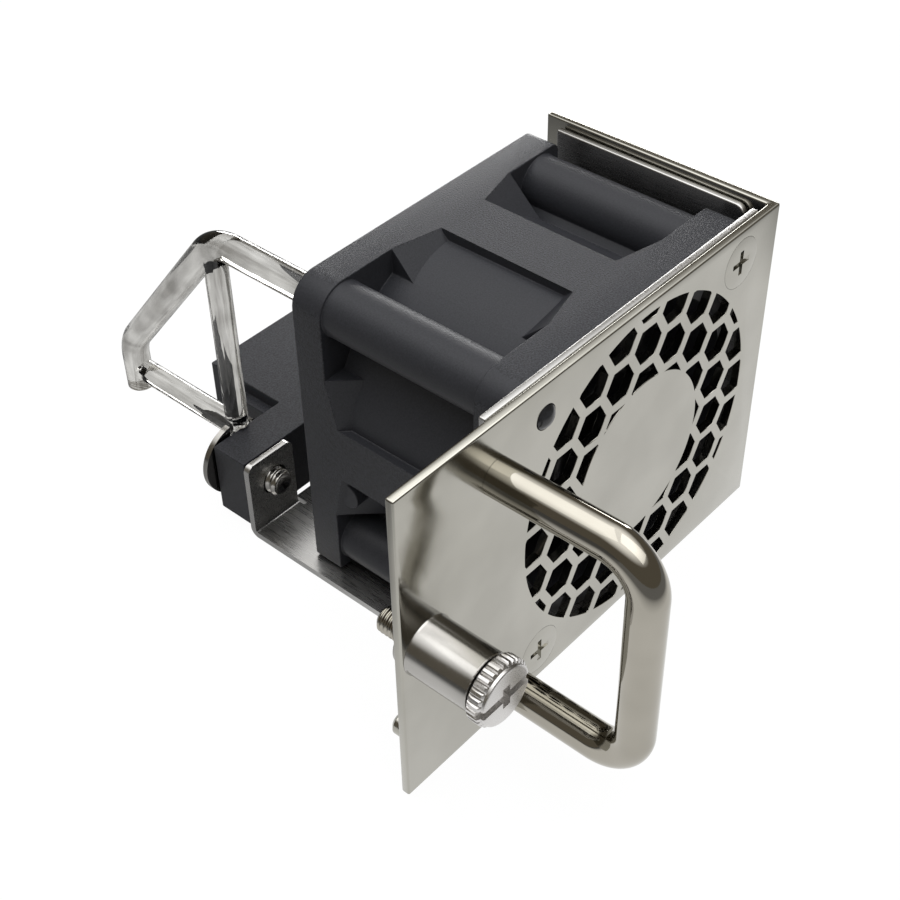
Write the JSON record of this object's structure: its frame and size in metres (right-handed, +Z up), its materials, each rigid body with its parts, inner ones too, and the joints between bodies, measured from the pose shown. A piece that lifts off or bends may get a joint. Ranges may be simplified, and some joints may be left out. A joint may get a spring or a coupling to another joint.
{
  "type": "switch fan tray",
  "caption": "Hot-swap fan tray: folded steel fascia with hexagon grille, pull handle, captive thumbscrew, axial fan, light guide and rear power connector.",
  "frame": {"origin": "underside of the tray's base plate, straight below the middle of the fan", "axes": "+X right along the fascia, +Y from the fascia back to the connector, +Z up"},
  "size_m": [0.0592, 0.0837, 0.04],
  "materials": {
    "fascia_steel": "satin bright",
    "tray_steel": "bright, smooth",
    "polished_steel": "polished",
    "screw_steel": "bright",
    "spring_steel": "bright",
    "fan_frame_plastic": "fine spark-eroded grain",
    "fan_blade_plastic": "smooth black",
    "rotor_steel": "plain",
    "ferrite": "dull",
    "stator_steel": "laminated",
    "copper_winding": "enamelled",
    "bearing_steel": "ground",
    "circuit_board": "solder resist",
    "clear_acrylic": "clear, glossy",
    "connector_plastic": "smooth black",
    "contact_gold": "plated"
  },
  "bodies": {
    "tray": {"front_fascia": "fascia_steel", "tray_chassis": "tray_steel", "pull_handle": "polished_steel", "handle_screw_upper": "screw_steel", "handle_screw_lower": "screw_steel", "thumbscrew_ferrule": "fascia_steel", "thumbscrew_spring": "spring_steel", "locating_pin": "screw_steel", "fan_housing": "fan_frame_plastic", "bearing_front": "bearing_steel", "bearing_rear": "bearing_steel", "stator_core": "stator_steel", "stator_coil_1": "copper_winding", "stator_coil_2": "copper_winding", "stator_coil_3": "copper_winding", "stator_coil_4": "copper_winding", "motor_circuit_board": "circuit_board", "fan_screw_upper": "screw_steel", "fan_screw_lower": "screw_steel", "light_guide": "clear_acrylic", "connector_housing": "connector_plastic", "contact_blade_1": "contact_gold", "contact_blade_2": "contact_gold", "contact_blade_3": "contact_gold", "contact_blade_4": "contact_gold", "contact_blade_5": "contact_gold", "contact_blade_6": "contact_gold", "connector_stud_left": "screw_steel", "connector_stud_right": "screw_steel"},
    "rotor": {"fan_impeller": "fan_blade_plastic", "rotor_yoke": "rotor_steel", "rotor_magnet": "ferrite", "fan_shaft": "bearing_steel", "shaft_clip": "bearing_steel"},
    "screw_slide": {"thrust_washer": "spring_steel"},
    "screw": {"thumbscrew": "polished_steel"}
  },
  "joints": [
    {"name": "impeller_spin", "type": "hinge", "parent": "tray", "child": "rotor", "pos_m": [0, 0, 0.02005], "axis": [0, 1, 0], "continuous": true},
    {"name": "thumbscrew_release", "type": "slide", "parent": "tray", "child": "screw_slide", "axis": [0, -1, 0], "range_m": [0, 0.0028]},
    {"name": "thumbscrew_turn", "type": "hinge", "parent": "screw_slide", "child": "screw", "pos_m": [-0.03296, -0.0248, 0.01944], "axis": [0, -1, 0], "continuous": true}
  ]
}
